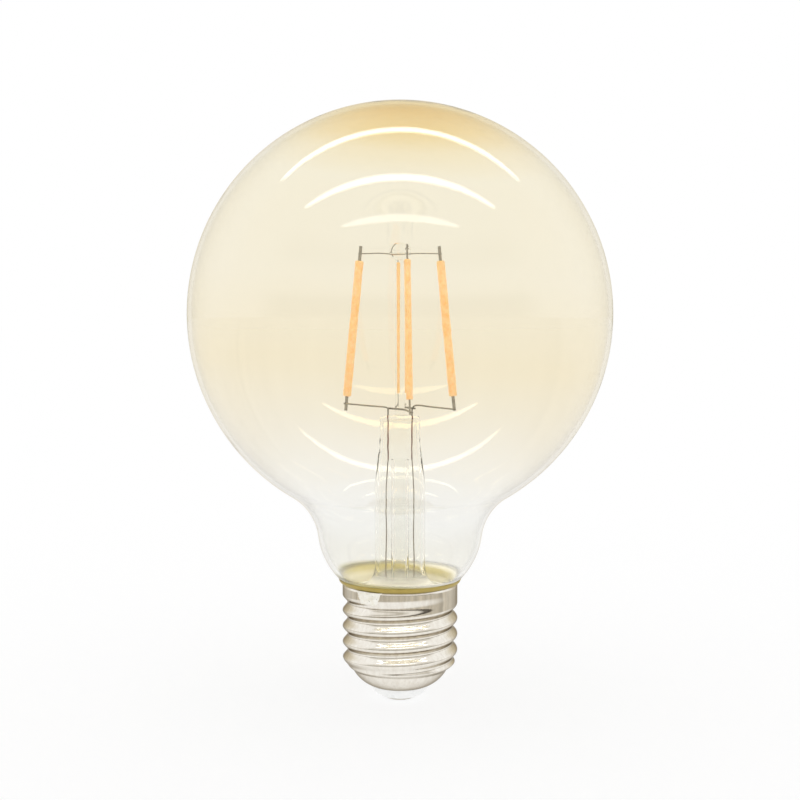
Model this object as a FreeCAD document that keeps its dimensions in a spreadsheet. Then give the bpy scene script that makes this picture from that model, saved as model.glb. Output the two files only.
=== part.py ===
import FreeCAD, Part
import math
import os
import Sketcher

os.makedirs("parts", exist_ok=True)
doc = FreeCAD.newDocument("globe_bulb")

# Driving sizes in millimetres, bearings in degrees about the bulb's axis
DRIVING = {
    # Glass envelope
    "overall_length": 134.65,
    "globe_diameter": 95.0,
    "neck_diameter": 37.4,
    "shoulder_radius": 13.0,
    "bowl_radius": 16.5,
    "throat_fillet": 1.5,
    "throat_lip": 0.95,
    "throat_depth": 2.9,
    "glass_wall": 0.9,
    # Screw cap
    "cap_height": 26.35,
    "thread_diameter": 26.1,
    "thread_depth": 0.85,
    "thread_pitch": 3.629,
    "thread_shift": 0.25,
    "shell_wall": 0.3,
    "collar_height": 3.8,
    "collar_neck": 0.9,
    "collar_step": 0.05,
    "dome_height": 7.5,
    "dome_radius": 18.0,
    "end_height": 3.0,
    "end_diameter": 13.6,
    "cement_gap": 0.6,
    "cement_depth": 2.7,
    "bead_height": 0.85,
    "bead_spread": 0.2,
    # Insulator and centre contact
    "contact_diameter": 6.8,
    "contact_head": 0.5,
    "shank_diameter": 2.4,
    "insulator_margin": 0.7,
    "insulator_floor": 4.2,
    "insulator_rim": 4.2,
    # Glass stem
    "stem_diameter": 11.4,
    "stem_wall": 0.9,
    "seal_drop": 1.9,
    "press_rise": 38.3,
    "press_height": 10.2,
    "press_width": 9.0,
    "press_thickness": 4.6,
    "exhaust_diameter": 4.0,
    "exhaust_wall": 0.6,
    "exhaust_tip": 15.2,
    "exhaust_hole": 1.6,
    # Pillar
    "pillar_diameter": 2.2,
    "button_diameter": 5.0,
    "button_height": 3.8,
    # Filament strips and their end tabs
    "strip_length": 30.6,
    "strip_width": 1.9,
    "strip_thickness": 1.5,
    "strip_rise": 4.3,
    "lower_radius": 12.0,
    "upper_radius": 9.1,
    "tab_length": 3.3,
    "tab_width": 0.7,
    "tab_thickness": 0.3,
    "left_bearing": 180.0,
    "right_bearing": 0.0,
    "front_bearing": 280.0,
    "back_bearing": 86.0,
    # Wires
    "lead_diameter": 0.45,
    "lead_radius": 2.7,
    "lead_bend": 0.8,
    "weld_gap": 0.02,
    "wire_overhang": 0.7,
    "lead_reach": 1.7,
    "jumper_reach": 2.8,
    "cross_reach": 1.6,
    "long_reach": 2.6,
    "long_gap": 0.06,
    "jumper_knee": 4.0,
    # Driver
    "board_diameter": 18.8,
    "board_thickness": 1.0,
    "board_height": 12.8,
    "capacitor_diameter": 5.0,
    "capacitor_length": 7.0,
    "capacitor_offset": 4.6,
    "resistor_diameter": 3.0,
    "resistor_length": 5.0,
    "chip_length": 4.9,
    "chip_width": 3.9,
    "chip_height": 1.5,
    "chip_offset": 6.2,
    "side_bearing": 236.4,
    # Rim solder and the hole in the collar that the side wire comes out by
    "side_hole": 0.75,
    "side_hole_drop": 1.4,
    "solder_width": 6.0,
    "solder_height": 3.0,
    "solder_bulge": 0.5,
}

sheet = doc.addObject("Spreadsheet::Sheet", "sizes")
for row, (name, number) in enumerate(DRIVING.items(), start=1):
    sheet.set(f"A{row}", name)
    sheet.set(f"B{row}", str(number))
    sheet.setAlias(f"B{row}", name)
doc.recompute()


class Size:
    """A number together with the sheet expression that gives it."""

    def __init__(self, value, text):
        self.value = float(value)
        self.text = text

    def __add__(self, other):
        other = as_size(other)
        return Size(self.value + other.value, f"({self.text} + {other.text})")

    def __sub__(self, other):
        other = as_size(other)
        return Size(self.value - other.value, f"({self.text} - {other.text})")

    def __mul__(self, other):
        other = as_size(other)
        return Size(self.value * other.value, f"({self.text} * {other.text})")

    def __truediv__(self, other):
        other = as_size(other)
        return Size(self.value / other.value, f"({self.text} / {other.text})")

    def __neg__(self):
        return Size(-self.value, f"(0 - {self.text})")


def as_size(item):
    """Return item as a Size."""
    if isinstance(item, Size):
        return item
    return Size(item, f"({float(item)})")


def size(alias):
    """Return the driving size kept in the sheet under alias."""
    return Size(sheet.get(alias), f"{sheet.Name}.{alias}")


def root(item):
    """Return the square root of a Size."""
    return Size(math.sqrt(item.value), f"sqrt({item.text})")


def cosine(angle):
    """Return the cosine of a bearing in degrees."""
    return Size(math.cos(math.radians(angle.value)), f"cos({angle.text})")


def sine(angle):
    """Return the sine of a bearing in degrees."""
    return Size(math.sin(math.radians(angle.value)), f"sin({angle.text})")


def bearing_of(run, rise):
    """Return the bearing in degrees of a direction in plan."""
    value = math.degrees(math.atan2(rise.value, run.value))
    return Size(value, f"atan2({rise.text}; {run.text})")


def place(item, base, turn=(0.0, 0.0, 0.0)):
    """Tie an object's placement to the sheet: base point, then yaw, pitch and roll."""
    point = "; ".join(as_size(axis).text for axis in base)
    angles = "; ".join(as_size(angle).text for angle in turn)
    item.setExpression("Placement", f"placement(vector({point}); rotation({angles}))")


def tie(item, **sizes):
    """Tie named properties of an object to the sheet."""
    for name, value in sizes.items():
        item.setExpression(name, as_size(value).text)


# Sketch helpers
def sketch_in(body, name, role, lift=None):
    """Add a sketch to a body on one of its origin planes, lifted along the plane's normal."""
    plane = next(item for item in body.Origin.OriginFeatures if item.Role == role)
    sketch = body.newObject("Sketcher::SketchObject", name)
    sketch.AttachmentSupport = [(plane, "")]
    sketch.MapMode = "FlatFace"
    if lift is not None:
        sketch.setExpression("AttachmentOffset.Base.z", lift.text)
    return sketch


def dimension(sketch, kind, *where, value):
    """Add one driving constraint to a sketch and tie it to the sheet."""
    index = sketch.addConstraint(Sketcher.Constraint(kind, *where, value.value))
    sketch.setExpression(f"Constraints[{index}]", value.text)


def pin(sketch, geometry, end, x, y):
    """Fix a point of a sketch at x and y from its origin."""
    for kind, axis, value in (("DistanceX", -2, as_size(x)), ("DistanceY", -1, as_size(y))):
        if abs(value.value) < 1e-9:
            sketch.addConstraint(Sketcher.Constraint("PointOnObject", geometry, end, axis))
        elif value.value > 0:
            dimension(sketch, kind, -1, 1, geometry, end, value=value)
        else:
            dimension(sketch, kind, geometry, end, -1, 1, value=-value)


def arc_between(start, end, radius):
    """Return the shorter arc between two points; a negative radius turns clockwise."""
    chord = end - start
    middle = (start + end) * 0.5
    rise = math.sqrt(radius * radius - chord.Length ** 2 / 4)
    left = FreeCAD.Vector(-chord.y, chord.x, 0).normalize()
    centre = middle + left * math.copysign(rise, radius)
    first, last = (start, end) if radius > 0 else (end, start)
    circle = Part.Circle(centre, FreeCAD.Vector(0, 0, 1), abs(radius))
    angles = [math.atan2(point.y - centre.y, point.x - centre.x) for point in (first, last)]
    return Part.ArcOfCircle(circle, angles[0], angles[1])


def outline(sketch, corners):
    """Draw a closed outline; a corner's third entry is the radius of the arc to the next corner."""
    points = [FreeCAD.Vector(as_size(c[0]).value, as_size(c[1]).value, 0) for c in corners]
    ends = []
    for index, corner in enumerate(corners):
        start, end = points[index], points[(index + 1) % len(points)]
        if len(corner) == 2:
            item = sketch.addGeometry(Part.LineSegment(start, end))
            ends.append((item, 1, 2))
        else:
            radius = as_size(corner[2])
            item = sketch.addGeometry(arc_between(start, end, radius.value))
            ends.append((item, 1, 2) if radius.value > 0 else (item, 2, 1))
            dimension(sketch, "Radius", item, value=radius if radius.value > 0 else -radius)
    for index, corner in enumerate(corners):
        before, here = ends[index - 1], ends[index]
        joint = (before[0], before[2], here[0], here[1])
        sketch.addConstraint(Sketcher.Constraint("Coincident", *joint))
        pin(sketch, here[0], here[1], corner[0], corner[1])


def ring(sketch, centres, radius):
    """Draw equal circles in a sketch."""
    for x, y in centres:
        middle = FreeCAD.Vector(as_size(x).value, as_size(y).value, 0)
        item = sketch.addGeometry(Part.Circle(middle, FreeCAD.Vector(0, 0, 1), radius.value))
        dimension(sketch, "Radius", item, value=radius)
        pin(sketch, item, 3, x, y)


# Body helpers
def new_body(name):
    """Add an empty body."""
    return doc.addObject("PartDesign::Body", name)


def revolve(body, sketch):
    """Turn a sketch once about the body's vertical axis, adding material."""
    turn = body.newObject("PartDesign::Revolution", f"{sketch.Name}_turned")
    turn.Profile = sketch
    turn.ReferenceAxis = (sketch, ["V_Axis"])
    turn.Angle = 360
    return turn


def groove(body, sketch):
    """Turn a sketch once about the body's vertical axis, removing material."""
    turn = body.newObject("PartDesign::Groove", f"{sketch.Name}_turned")
    turn.Profile = sketch
    turn.ReferenceAxis = (sketch, ["V_Axis"])
    turn.Angle = 360
    return turn


def turned(name, corners):
    """Return a body turned from one outline in the XZ plane."""
    body = new_body(name)
    sketch = sketch_in(body, f"{name}_profile", "XZ_Plane")
    outline(sketch, corners)
    revolve(body, sketch)
    return body


def pad(body, sketch, length):
    """Pad a sketch along its normal."""
    feature = body.newObject("PartDesign::Pad", f"{sketch.Name}_pad")
    feature.Profile = sketch
    tie(feature, Length=length)
    return feature


def fillet(body, base, radius, keep):
    """Round the edges of a feature that keep accepts."""
    doc.recompute()
    names = [f"Edge{n}" for n, edge in enumerate(base.Shape.Edges, start=1) if keep(edge)]
    feature = body.newObject("PartDesign::Fillet", f"{base.Name}_round")
    feature.Base = (base, names)
    tie(feature, Radius=radius)
    return feature


def level_edges(level):
    """Return a test for edges that lie flat at a height."""
    def keep(edge):
        box = edge.BoundBox
        return box.ZLength < 1e-6 and abs(box.ZMin - level) < 1e-6
    return keep


def lozenge(half_length, half_width):
    """Return the corners of a bar with bowed ends."""
    flat = half_length - half_width * 0.7
    bow = half_width * 1.07
    return [
        (-flat, -half_width),
        (flat, -half_width, bow),
        (flat, half_width),
        (-flat, half_width, bow),
    ]


def rod(name, radius, length, base, turn=(0.0, 0.0, 0.0)):
    """Return a straight round rod."""
    item = doc.addObject("Part::Cylinder", name)
    tie(item, Radius=radius, Height=length)
    place(item, base, turn)
    return item


def cut(name, base, *tools):
    """Return base with the tools removed."""
    item = doc.addObject("Part::Cut", name)
    item.Base = base
    item.Tool = tools[0] if len(tools) == 1 else fuse(f"{name}_tools", *tools)
    return item


def fuse(name, *items):
    """Return the union of items."""
    item = doc.addObject("Part::MultiFuse", name)
    item.Shapes = list(items)
    return item


def common(name, base, tool):
    """Return what two items share."""
    item = doc.addObject("Part::Common", name)
    item.Base = base
    item.Tool = tool
    return item


def bent_wire(name, points, diameter, bend, placement=None):
    """Return a round wire bent through points with one bend radius."""
    path = [FreeCAD.Vector(*point) for point in points]
    edges = []
    start = path[0]
    for before, corner, after in zip(path, path[1:], path[2:]):
        into = (before - corner).normalize()
        away = (after - corner).normalize()
        half = into.getAngle(away) / 2
        trim = bend / math.tan(half)
        middle = (into + away).normalize()
        nearest = corner + middle * (bend / math.sin(half) - bend)
        entry, leave = corner + into * trim, corner + away * trim
        edges.append(Part.makeLine(start, entry))
        edges.append(Part.Arc(entry, nearest, leave).toShape())
        start = leave
    edges.append(Part.makeLine(start, path[-1]))
    section = Part.makeCircle(diameter / 2, path[0], path[1] - path[0])
    item = doc.addObject("Part::Feature", name)
    item.Shape = Part.Wire(edges).makePipeShell([Part.Wire([section])], True, True)
    if placement is not None:
        item.Placement = placement
    return item


# Sizes that follow from the driving ones
rim = size("cap_height")
shell_wall = size("shell_wall")
crest = size("thread_diameter") / 2
thread_mean = crest - size("thread_depth") / 2
thread_swing = size("thread_depth") / 2
root_radius = crest - size("thread_depth") * 0.94
collar_radius = crest + size("collar_step")
collar_foot = rim - size("collar_height")
dome_top = size("dome_height")
end_height = size("end_height")
end_radius = size("end_diameter") / 2

wall = size("glass_wall")
throat_radius = collar_radius - shell_wall - size("cement_gap")
throat_end = rim - size("throat_depth")
globe_radius = size("globe_diameter") / 2
globe_centre = size("overall_length") - globe_radius
bowl = size("bowl_radius")
bowl_offset = size("neck_diameter") / 2 - bowl
fillet_radius = size("throat_fillet")
fillet_offset = throat_radius + fillet_radius - bowl_offset
bowl_level = rim - size("throat_lip") + root(
    (bowl + fillet_radius) * (bowl + fillet_radius) - fillet_offset * fillet_offset
)

stem_radius = size("stem_diameter") / 2
stem_wall = size("stem_wall")
press_top = rim + size("press_rise")
cavity_top = press_top - size("press_height")
lead = size("lead_diameter") / 2
aside = size("tab_thickness") / 2 + lead + size("weld_gap")

lean = (size("lower_radius") - size("upper_radius")) / size("strip_length")
upright = root(as_size(1) - lean * lean)
strip_foot = press_top + size("strip_rise")
strip_head = strip_foot + size("strip_length") * upright
board_foot = size("board_height")
board_top = board_foot + size("board_thickness")


def foot_radius(reach):
    """Return the distance from the axis of a lower tab at a reach below its strip."""
    return size("lower_radius") + lean * reach


def head_radius(reach):
    """Return the distance from the axis of an upper tab at a reach above its strip."""
    return size("upper_radius") - lean * reach


def foot_level(reach):
    """Return the height of a lower tab at a reach below its strip."""
    return strip_foot - upright * reach


def head_level(reach):
    """Return the height of an upper tab at a reach above its strip."""
    return strip_head + upright * reach


def plan(bearing, distance, sideways):
    """Return the plan position at a distance along a bearing and a step to its left."""
    return (
        cosine(bearing) * distance - sine(bearing) * sideways,
        sine(bearing) * distance + cosine(bearing) * sideways,
    )


# Glass envelope: globe, shoulder, neck bowl and throat
def bulb_profile(body, name, inset, foot):
    """Draw the bulb's profile, every curve moved in by inset and the throat ended at foot."""
    sketch = sketch_in(body, name, "XZ_Plane")
    up = FreeCAD.Vector(0, 0, 1)
    radii = [
        globe_radius - inset,
        size("shoulder_radius") + inset,
        bowl - inset,
        fillet_radius + inset,
    ]
    throat = throat_radius - inset
    globe_mid = FreeCAD.Vector(0, globe_centre.value, 0)
    bowl_mid = FreeCAD.Vector(bowl_offset.value, bowl_level.value, 0)
    fillet_mid = FreeCAD.Vector(
        (throat_radius + fillet_radius).value, (rim - size("throat_lip")).value, 0
    )
    span = bowl_mid - globe_mid
    near, far = radii[0].value + radii[1].value, radii[1].value + radii[2].value
    along = (near ** 2 - far ** 2 + span.Length ** 2) / (2 * span.Length)
    across = math.sqrt(near ** 2 - along ** 2)
    ahead = span.normalize()
    shoulder_mid = globe_mid + ahead * along + FreeCAD.Vector(-ahead.y, ahead.x, 0) * across

    apex = globe_mid + FreeCAD.Vector(0, radii[0].value, 0)
    on_globe = globe_mid + (shoulder_mid - globe_mid).normalize() * radii[0].value
    on_bowl = bowl_mid + (shoulder_mid - bowl_mid).normalize() * radii[2].value
    on_fillet = bowl_mid + (fillet_mid - bowl_mid).normalize() * radii[2].value
    on_throat = FreeCAD.Vector(throat.value, fillet_mid.y, 0)
    corner = FreeCAD.Vector(throat.value, foot.value, 0)
    base = FreeCAD.Vector(0, foot.value, 0)

    middles = (globe_mid, shoulder_mid, bowl_mid, fillet_mid)
    spans = ((on_globe, apex), (on_globe, on_bowl), (on_fillet, on_bowl), (on_fillet, on_throat))
    for middle, radius, (first, last) in zip(middles, radii, spans):
        circle = Part.Circle(middle, up, radius.value)
        angles = [math.atan2(p.y - middle.y, p.x - middle.x) for p in (first, last)]
        item = sketch.addGeometry(Part.ArcOfCircle(circle, angles[0], angles[1]))
        dimension(sketch, "Radius", item, value=radius)
    for first, last in ((on_throat, corner), (corner, base), (base, apex)):
        sketch.addGeometry(Part.LineSegment(first, last))

    # Arcs run counter-clockwise: globe 0, shoulder 1, bowl 2, fillet 3; lines: throat 4, foot 5, axis 6
    for joint in ((0, 1, 1, 1), (1, 2, 2, 2), (2, 1, 3, 1), (3, 2, 4, 1)):
        sketch.addConstraint(Sketcher.Constraint("Tangent", *joint))
    for joint in ((4, 2, 5, 1), (5, 2, 6, 1), (6, 2, 0, 2)):
        sketch.addConstraint(Sketcher.Constraint("Coincident", *joint))
    pin(sketch, 0, 3, 0, globe_centre)
    pin(sketch, 2, 3, bowl_offset, bowl_level)
    pin(sketch, 4, 2, throat, foot)
    sketch.addConstraint(Sketcher.Constraint("Vertical", 4))
    pin(sketch, 5, 2, 0, foot)
    sketch.addConstraint(Sketcher.Constraint("PointOnObject", 0, 2, -2))
    return sketch


glass_envelope = new_body("glass_envelope")
revolve(glass_envelope, bulb_profile(glass_envelope, "glass_outside", as_size(0), throat_end))
groove(glass_envelope, bulb_profile(glass_envelope, "glass_inside", wall, throat_end - wall))

# Screw cap: a rolled sheet shell, its round thread a circle carried along a narrow helix
thread_path = doc.addObject("Part::Helix", "thread_path")
tie(thread_path, Pitch=size("thread_pitch"), Height=collar_foot, Radius=thread_swing)
place(thread_path, (0, 0, size("thread_shift")))


def shell_form(tag, inset, end_lift):
    """Return the filled form of the screw cap with every radius reduced by inset."""
    waist = root_radius - inset
    corners = [
        (0, end_height),
        (end_radius, end_height),
    ]
    if inset.value > 0:
        corners.append((end_radius, end_height + end_lift, size("dome_radius") - inset))
    else:
        corners[1] = (end_radius, end_height, size("dome_radius"))
    corners += [
        (waist, dome_top),
        (waist, collar_foot - size("collar_neck")),
        (collar_radius - inset, collar_foot),
        (collar_radius - inset, rim),
        (0, rim),
    ]
    core = turned(f"{tag}_core", corners)

    thread = new_body(f"{tag}_thread")
    circle = sketch_in(thread, f"{tag}_thread_circle", "XY_Plane", size("thread_shift"))
    ring(circle, [(thread_swing, 0)], thread_mean - inset)
    pipe = thread.newObject("PartDesign::AdditivePipe", f"{tag}_thread_pipe")
    pipe.Profile = circle
    pipe.Spine = (thread_path, ["Edge1"])
    pipe.Mode = "Fixed"

    low = dome_top - 1.0
    inner = waist - 0.8
    outer = crest - inset + 0.1
    limit = turned(f"{tag}_limit", [
        (0, low),
        (inner, low),
        (outer, low + (outer - inner) * 1.2),
        (outer, collar_foot),
        (0, collar_foot),
    ])
    return fuse(f"{tag}_form", core, common(f"{tag}_ridge", thread, limit))


hole_radius = size("side_hole") / 2
hole_height = rim - size("side_hole_drop")
side_hole = rod(
    "side_hole_drill",
    hole_radius,
    shell_wall * 4,
    (*plan(size("side_bearing"), collar_radius - shell_wall * 2, as_size(0)), hole_height),
    (size("side_bearing"), 90.0, 0.0),
)
rolled_shell = cut(
    "rolled_shell",
    shell_form("shell_outside", as_size(0), shell_wall),
    shell_form("shell_inside", shell_wall, shell_wall),
)
screw_shell = cut("screw_shell", rolled_shell, side_hole)

# Insulator seated in the domed end, and the centre contact riveted through it
contact_radius = size("contact_diameter") / 2
shank = size("shank_diameter") / 2
head = size("contact_head")
insulator_base = contact_radius + size("insulator_margin")
inside_waist = root_radius - shell_wall
insulator = turned("insulator", [
    (shank, head),
    (insulator_base, head, size("end_diameter") * 0.4),
    (end_radius, end_height),
    (end_radius, end_height + shell_wall, size("dome_radius") - shell_wall),
    (inside_waist, dome_top),
    (inside_waist - size("insulator_rim"), dome_top),
    (inside_waist - size("insulator_rim"), size("insulator_floor")),
    (shank, size("insulator_floor")),
])
shank_top = size("insulator_floor") + 1.0
centre_contact = turned("centre_contact", [
    (0, 0),
    (contact_radius - head * 0.7, 0, head),
    (contact_radius, head),
    (shank, head),
    (shank, size("insulator_floor")),
    (shank + 0.4, size("insulator_floor")),
    (shank * 0.7, shank_top),
    (0, shank_top),
])

# Stem: flare sealed into the throat, tube and flattened press
flare_rim = throat_radius - wall
flare = flare_rim - stem_radius + 0.2
flare_level = rim - size("seal_drop") + root(flare * flare - 0.04)
flare_under = flare + stem_wall
under_rim = flare_level - root(flare_under * flare_under - 0.04)
press_width = size("press_width")
press_thickness = size("press_thickness")
stem_crown = cavity_top + 3.4
stem_blank = new_body("stem_blank")
stem_profile = sketch_in(stem_blank, "stem_profile", "XZ_Plane")
outline(stem_profile, [
    (0, stem_crown),
    (0, cavity_top),
    (stem_radius - stem_wall, cavity_top),
    (stem_radius - stem_wall, flare_level, flare_under),
    (flare_rim, under_rim),
    (flare_rim, rim - size("seal_drop"), -flare),
    (stem_radius, flare_level),
    (stem_radius, cavity_top, stem_radius * 0.9),
    (press_thickness * 0.4, stem_crown),
])
revolve(stem_blank, stem_profile)
press_sketch = sketch_in(stem_blank, "press_section", "XY_Plane", cavity_top)
outline(press_sketch, lozenge(press_width / 2, press_thickness / 2))
press_pad = pad(stem_blank, press_sketch, press_top - cavity_top)
fillet(stem_blank, press_pad, press_thickness * 0.22, level_edges(press_top.value))

# Exhaust tube down the stem, its tip closed, and the hole blown from it through the press
exhaust = size("exhaust_diameter") / 2
bore = exhaust - size("exhaust_wall")
tip = size("exhaust_tip")
exhaust_tube = turned("exhaust_tube", [
    (0, tip, exhaust * 1.2),
    (exhaust, tip + exhaust * 1.6),
    (exhaust, cavity_top),
    (bore, cavity_top),
    (bore, tip + exhaust * 2.2, -bore * 1.3),
    (0, tip + exhaust),
])
hole = size("exhaust_hole") / 2
hole_level = cavity_top + hole * 2.5
hole_well = rod("hole_well", hole, hole_level - cavity_top, (0, 0, cavity_top))
hole_mouth = rod("hole_mouth", hole, press_width, (0, 0, hole_level), (270.0, 90.0, 0.0))

# Lead wires: seal wires through the press, copper below, nickel bent out to the strips above
SIDES = (("left", size("left_bearing"), 1), ("right", size("right_bearing"), -1))
ENDS = (("front", size("front_bearing"), 1), ("back", size("back_bearing"), -1))
lead_posts = {}
seals = []
leads = []
for tag, bearing, side in SIDES:
    post = plan(bearing, size("lead_radius"), aside * side)
    lead_posts[tag] = post
    seals.append(rod(f"{tag}_seal_wire", lead, press_top - cavity_top, (*post, cavity_top)))
    leads.append(rod(f"{tag}_outer_lead", lead, cavity_top - board_top, (*post, board_top)))
    reach = size("lead_reach")
    turn = FreeCAD.Rotation(bearing.value, 0, 0)
    leads.append(bent_wire(
        f"{tag}_inner_lead",
        [
            (size("lead_radius").value, (aside * side).value, press_top.value),
            (size("lead_radius").value, (aside * side).value, foot_level(reach).value),
            (
                (foot_radius(reach) + size("wire_overhang")).value,
                (aside * side).value,
                foot_level(reach).value,
            ),
        ],
        size("lead_diameter").value,
        size("lead_bend").value,
        FreeCAD.Placement(FreeCAD.Vector(), turn),
    ))
glass_stem = cut("glass_stem", stem_blank, *seals, hole_well, hole_mouth)

# Jumper wires: from each lead to the front and back strips
jumpers = []
for (tag, bearing, side), start in zip(ENDS, ("left", "right")):
    reach = size("jumper_reach")
    level = foot_level(reach).value
    post = FreeCAD.Vector(lead_posts[start][0].value, lead_posts[start][1].value, level)
    knee = plan(bearing, size("jumper_knee"), aside * side)
    end = plan(bearing, foot_radius(reach) + size("wire_overhang"), aside * side)
    knee = FreeCAD.Vector(knee[0].value, knee[1].value, level)
    end = FreeCAD.Vector(end[0].value, end[1].value, level)
    ahead = (knee - post).normalize()
    inward = FreeCAD.Vector(-ahead.y, ahead.x, 0) * side
    beside = post + inward * (size("lead_diameter").value * 1.2) - ahead * size("lead_diameter").value
    jumpers.append(bent_wire(
        f"{tag}_jumper_wire", [beside, knee, end], size("lead_diameter").value, size("lead_bend").value
    ))

# Top wires: left to right and front to back through the melted button
crossings = []
for name, pair, reach, spare in (
    ("top_cross_wire", SIDES, size("cross_reach"), as_size(0)),
    ("top_long_wire", ENDS, size("long_reach"), size("long_gap")),
):
    radius = head_radius(reach)
    points = [plan(bearing, radius, (aside + spare) * side) for _, bearing, side in pair]
    run, rise = points[1][0] - points[0][0], points[1][1] - points[0][1]
    length = root(run * run + rise * rise)
    extra = size("wire_overhang")
    base = (
        points[0][0] - run * extra / length,
        points[0][1] - rise * extra / length,
        head_level(reach),
    )
    crossings.append(rod(name, lead, length + extra * 2, base, (bearing_of(run, rise), 90.0, 0.0)))

# Pillar: rod from the press to a melted button that grips the top wires
pillar = size("pillar_diameter") / 2
button = size("button_diameter") / 2
button_half = size("button_height") / 2
button_level = head_level((size("cross_reach") + size("long_reach")) / 2)
button_curve = (button * button + button_half * button_half) / (button * 2) * 1.02
pillar_blank = turned("pillar_blank", [
    (0, press_top),
    (pillar, press_top),
    (pillar, button_level - button_half, button_curve),
    (button, button_level, button_curve),
    (pillar * 0.5, button_level + button_half),
    (0, button_level + button_half),
])
glass_pillar = cut("glass_pillar", pillar_blank, *crossings)

# Filament strips with their end tabs
strips = []
for tag, bearing, _ in SIDES + ENDS:
    tilt = Size(-math.degrees(math.asin(lean.value)), f"-asin({lean.text})")
    foot = (*plan(bearing, size("lower_radius"), as_size(0)), strip_foot)
    turn = (bearing, tilt, 0.0)
    strip = new_body(f"{tag}_filament")
    section = sketch_in(strip, f"{tag}_strip_section", "XY_Plane")
    outline(section, lozenge(size("strip_width") / 2, size("strip_thickness") / 2))
    bar = pad(strip, section, size("strip_length"))
    top = size("strip_length").value
    edges = lambda edge, high=top: level_edges(0.0)(edge) or level_edges(high)(edge)
    fillet(strip, bar, size("strip_thickness") * 0.3, edges)
    place(strip, foot, turn)
    strips.append(strip)
    for end, shift in (("lower", -size("tab_length")), ("upper", size("strip_length"))):
        tab = new_body(f"{tag}_{end}_tab")
        shape = sketch_in(tab, f"{tag}_{end}_tab_section", "XY_Plane", shift)
        half_width, half_depth = size("tab_width") / 2, size("tab_thickness") / 2
        outline(shape, [
            (-half_width, -half_depth),
            (half_width, -half_depth),
            (half_width, half_depth),
            (-half_width, half_depth),
        ])
        pad(tab, shape, size("tab_length"))
        place(tab, foot, turn)
        strips.append(tab)

# Driver board with its parts
board = size("board_diameter") / 2
driver_board = turned("driver_board", [
    (0, board_foot),
    (board, board_foot),
    (board, board_top),
    (0, board_top),
])
can = size("capacitor_diameter") / 2
can_foot = board_foot - size("capacitor_length")
smoothing_capacitor = turned("smoothing_capacitor", [
    (0, can_foot),
    (can - 0.4, can_foot, as_size(0.4)),
    (can, can_foot + 0.4),
    (can, board_foot - 1.6),
    (can - 0.3, board_foot - 1.2),
    (can, board_foot - 0.8),
    (can, board_foot - 0.4, as_size(0.4)),
    (can - 0.4, board_foot),
    (0, board_foot),
])
place(smoothing_capacitor, (-size("capacitor_offset"), 0, 0))
body_half = size("resistor_length") / 2
pin_radius = as_size(0.3)
resistor_level = (board_foot + shank_top) / 2
resistor = size("resistor_diameter") / 2
fuse_resistor = turned("fuse_resistor", [
    (0, shank_top),
    (pin_radius, shank_top),
    (pin_radius, resistor_level - body_half),
    (resistor - 0.4, resistor_level - body_half, as_size(0.4)),
    (resistor, resistor_level - body_half + 0.4),
    (resistor, resistor_level + body_half - 0.4, as_size(0.4)),
    (resistor - 0.4, resistor_level + body_half),
    (pin_radius, resistor_level + body_half),
    (pin_radius, board_foot),
    (0, board_foot),
])
packages = []
for name, shift in (("bridge_rectifier", 1), ("driver_chip", -1)):
    package = new_body(name)
    shape = sketch_in(package, f"{name}_section", "XY_Plane", board_top)
    half_length, half_width = size("chip_length") / 2, size("chip_width") / 2
    outline(shape, [
        (-half_length, -half_width),
        (half_length, -half_width),
        (half_length, half_width),
        (-half_length, half_width),
    ])
    lump = pad(package, shape, size("chip_height"))
    fillet(package, lump, size("chip_height") * 0.2, level_edges((board_top + size("chip_height")).value))
    place(package, (0, size("chip_offset") * shift, 0))
    packages.append(package)

# Side wire from the board up the cement gap and out through the collar
gap_radius = throat_radius + size("cement_gap") / 2
corner_level = throat_end - 0.35
slant = gap_radius - board + 1.0
side_turn = FreeCAD.Rotation(size("side_bearing").value, 0, 0)
side_lead_wire = bent_wire(
    "side_lead_wire",
    [
        ((gap_radius - slant).value, 0, board_top.value),
        ((gap_radius - slant).value, 0, (corner_level - slant * 1.06).value),
        (gap_radius.value, 0, corner_level.value),
        (gap_radius.value, 0, hole_height.value),
        ((collar_radius + size("solder_bulge") * 0.5).value, 0, hole_height.value),
    ],
    size("lead_diameter").value,
    size("lead_diameter").value * 1.2,
    FreeCAD.Placement(FreeCAD.Vector(), side_turn),
)

# Capping cement in the gap, with a bead above the rim
cement_blank = turned("cement_blank", [
    (throat_radius - wall * 0.5, rim - size("cement_depth")),
    (collar_radius - shell_wall, rim - size("cement_depth")),
    (collar_radius - shell_wall, rim),
    (collar_radius + size("bead_spread") * 0.5, rim, size("bead_height")),
    (collar_radius + size("bead_spread"), rim + size("bead_height")),
    (throat_radius + wall * 0.3, rim + size("bead_height")),
    (throat_radius - wall * 0.5, rim - size("throat_lip")),
])
capping_cement = cut("capping_cement", cement_blank, glass_envelope, side_lead_wire)

# Solder at the rim over the end of the side wire
solder_blank = new_body("solder_blank")
solder_sketch = sketch_in(solder_blank, "solder_patch", "XZ_Plane", collar_radius - size("solder_bulge"))
solder_half = size("solder_width") / 2
solder_foot = rim - size("solder_height")
outline(solder_sketch, [
    (-solder_half * 0.55, solder_foot),
    (solder_half * 0.4, solder_foot),
    (solder_half, rim - size("solder_height") * 0.3),
    (solder_half * 0.9, rim),
    (-solder_half, rim),
    (-solder_half * 0.95, rim - size("solder_height") * 0.4),
])
solder_pad = pad(solder_blank, solder_sketch, size("solder_bulge") * 2)
doc.recompute()
outer_face = -(collar_radius + size("solder_bulge")).value
fillet(
    solder_blank,
    solder_pad,
    size("solder_bulge") * 0.8,
    lambda edge: edge.BoundBox.YLength < 1e-6 and abs(edge.BoundBox.YMin - outer_face) < 1e-6,
)
place(solder_blank, (0, 0, 0), (size("side_bearing") - 270, 0.0, 0.0))
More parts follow.
